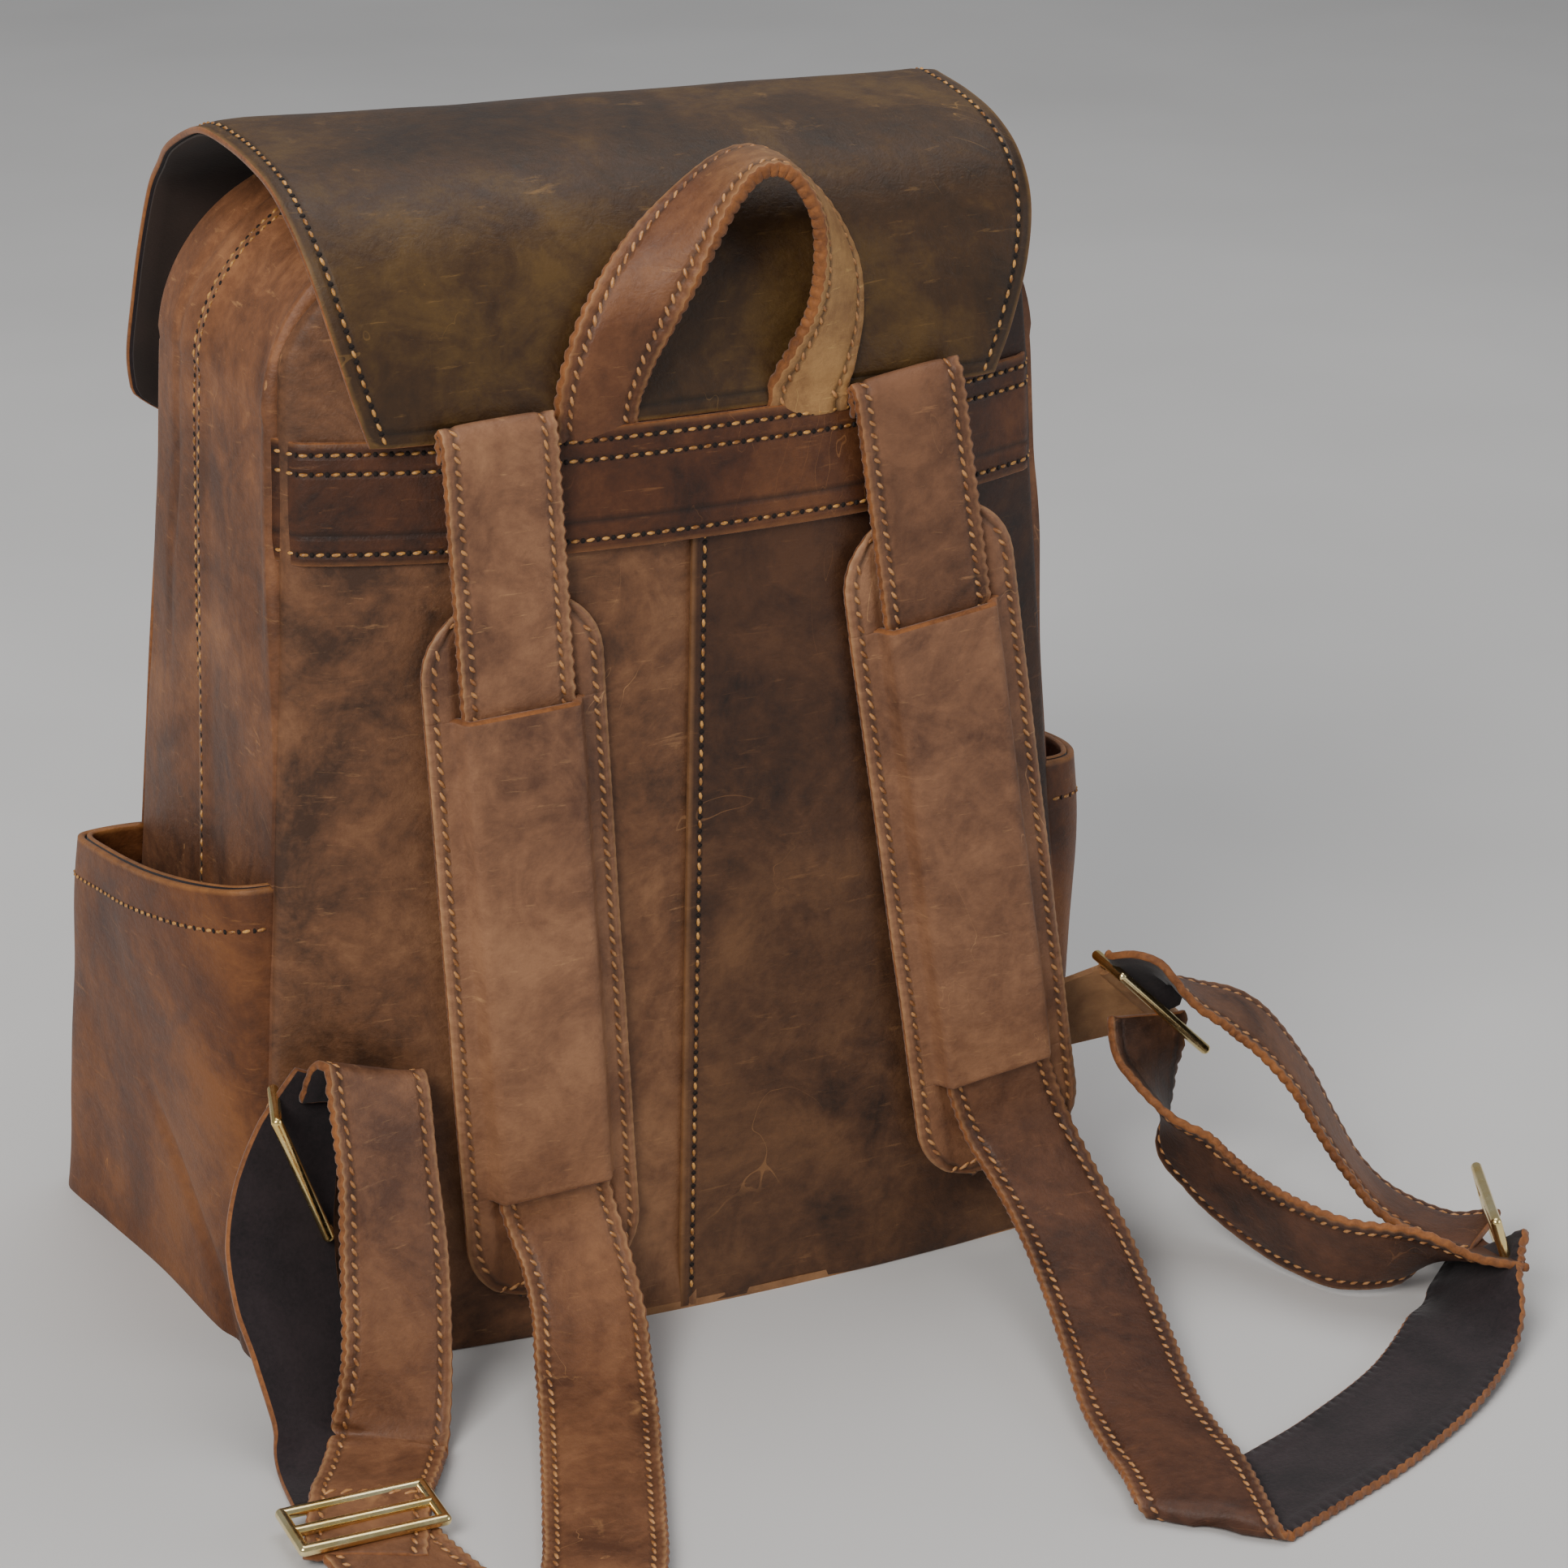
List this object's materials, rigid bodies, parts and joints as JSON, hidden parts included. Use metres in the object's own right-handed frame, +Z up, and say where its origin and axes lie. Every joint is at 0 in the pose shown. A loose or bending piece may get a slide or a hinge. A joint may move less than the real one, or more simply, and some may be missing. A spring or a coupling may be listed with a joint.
{
  "type": "backpack",
  "caption": "Upright leather backpack with a turned-down flap, carrying handle, sliding shoulder pads on long straps, brass rings and open side pockets.",
  "frame": {"origin": "centre of the underside, on the surface the bag stands on", "axes": "+Z up; +Y out of the back that lies against the wearer, with the straps; -Y the flap's front; +X the wearer-side left in a view from behind"},
  "size_m": [0.4718, 0.4204, 0.4191],
  "materials": {
    "back_leather": "waxed, pulled-up brown hide",
    "body_leather": "waxed, pulled-up brown hide",
    "flap_leather": "waxed olive-brown hide",
    "strap_leather": "waxed, lighter brown hide with raw edges",
    "lining_cloth": "dark matte lining",
    "board": "stiff fibre board",
    "brass": "pale polished brass"
  },
  "bodies": {
    "root": {"bottom_panel": "back_leather", "back_panel_left": "back_leather", "back_panel_right": "back_leather", "back_band": "back_leather", "strap_root_left": "back_leather", "strap_root_right": "back_leather", "front_panel": "body_leather", "side_gusset_left": "body_leather", "side_gusset_right": "body_leather", "zip_gusset_rear": "body_leather", "zip_gusset_front": "body_leather", "front_pocket": "body_leather", "side_pocket_left": "body_leather", "side_pocket_right": "body_leather", "pocket_hem_left": "body_leather", "pocket_hem_right": "body_leather", "flap_rear": "flap_leather", "ring_tab_left": "flap_leather", "ring_tab_right": "flap_leather", "lower_strap_left": "strap_leather", "lower_strap_right": "strap_leather", "strap_leg_left": "strap_leather", "strap_leg_right": "strap_leather", "strap_return_left": "strap_leather", "strap_return_right": "strap_leather", "lining_bag": "lining_cloth", "inner_sleeve": "lining_cloth", "flap_rear_lining": "lining_cloth", "zip_tape_rear": "lining_cloth", "zip_tape_front": "lining_cloth", "base_board": "board", "slider_left": "brass", "slider_right": "brass", "snap_female_left": "brass", "snap_female_right": "brass", "zip_teeth": "brass"},
    "flap": {"flap_front": "flap_leather", "flap_front_lining": "lining_cloth", "closure_strap_left": "flap_leather", "closure_strap_right": "flap_leather", "snap_male_left": "brass", "snap_male_right": "brass"},
    "handle": {"handle": "strap_leather"},
    "strap_left": {"shoulder_strap_left": "strap_leather"},
    "strap_right": {"shoulder_strap_right": "strap_leather"},
    "pad_left": {"shoulder_pad_left": "strap_leather", "pad_backing_left": "lining_cloth"},
    "pad_right": {"shoulder_pad_right": "strap_leather", "pad_backing_right": "lining_cloth"},
    "ring_left": {"ring_left": "brass"},
    "ring_right": {"ring_right": "brass"},
    "zip_slider": {"zip_slider": "brass"},
    "zip_pull": {"zip_pull": "brass"}
  },
  "joints": [
    {"name": "flap_lift", "type": "hinge", "parent": "root", "child": "flap", "pos_m": [0, 0.02, 0.4181], "axis": [-1, 0, 0], "range_deg": [0, 150]},
    {"name": "handle_fold", "type": "hinge", "parent": "root", "child": "handle", "pos_m": [0, 0.108, 0.3345], "axis": [-1, 0, 0], "range_deg": [0, 120]},
    {"name": "left_strap_swing", "type": "hinge", "parent": "root", "child": "strap_left", "pos_m": [0.072, 0.1088, 0.3385], "axis": [1, 0, 0], "range_deg": [0, 20], "deforming": ["lower_strap_left"]},
    {"name": "right_strap_swing", "type": "hinge", "parent": "root", "child": "strap_right", "pos_m": [-0.074, 0.1088, 0.3385], "axis": [1, 0, 0], "range_deg": [0, 20], "deforming": ["lower_strap_right"]},
    {"name": "left_pad_slide", "type": "slide", "parent": "strap_left", "child": "pad_left", "axis": [0.0523, 0, 0.9986], "range_m": [-0.01, 0.012]},
    {"name": "right_pad_slide", "type": "slide", "parent": "strap_right", "child": "pad_right", "axis": [0.1478, 0, 0.989], "range_m": [-0.014, 0]},
    {"name": "left_ring_swing", "type": "hinge", "parent": "root", "child": "ring_left", "pos_m": [0.153, 0.098, 0.112], "axis": [-0.3399, -0.04, -0.9396], "range_deg": [-12, 12], "deforming": ["strap_leg_left", "strap_return_left"]},
    {"name": "right_ring_swing", "type": "hinge", "parent": "root", "child": "ring_right", "pos_m": [-0.163, 0.093, 0.104], "axis": [-0.7071, 0, -0.7071], "range_deg": [-12, 12], "deforming": ["strap_leg_right", "strap_return_right"]},
    {"name": "zip_slide", "type": "slide", "parent": "root", "child": "zip_slider", "axis": [1, 0, 0], "range_m": [-0.06, 0.06]},
    {"name": "zip_pull_lift", "type": "hinge", "parent": "zip_slider", "child": "zip_pull", "pos_m": [0, 0.004, 0.3991], "axis": [0, -1, 0], "range_deg": [0, 25]}
  ]
}
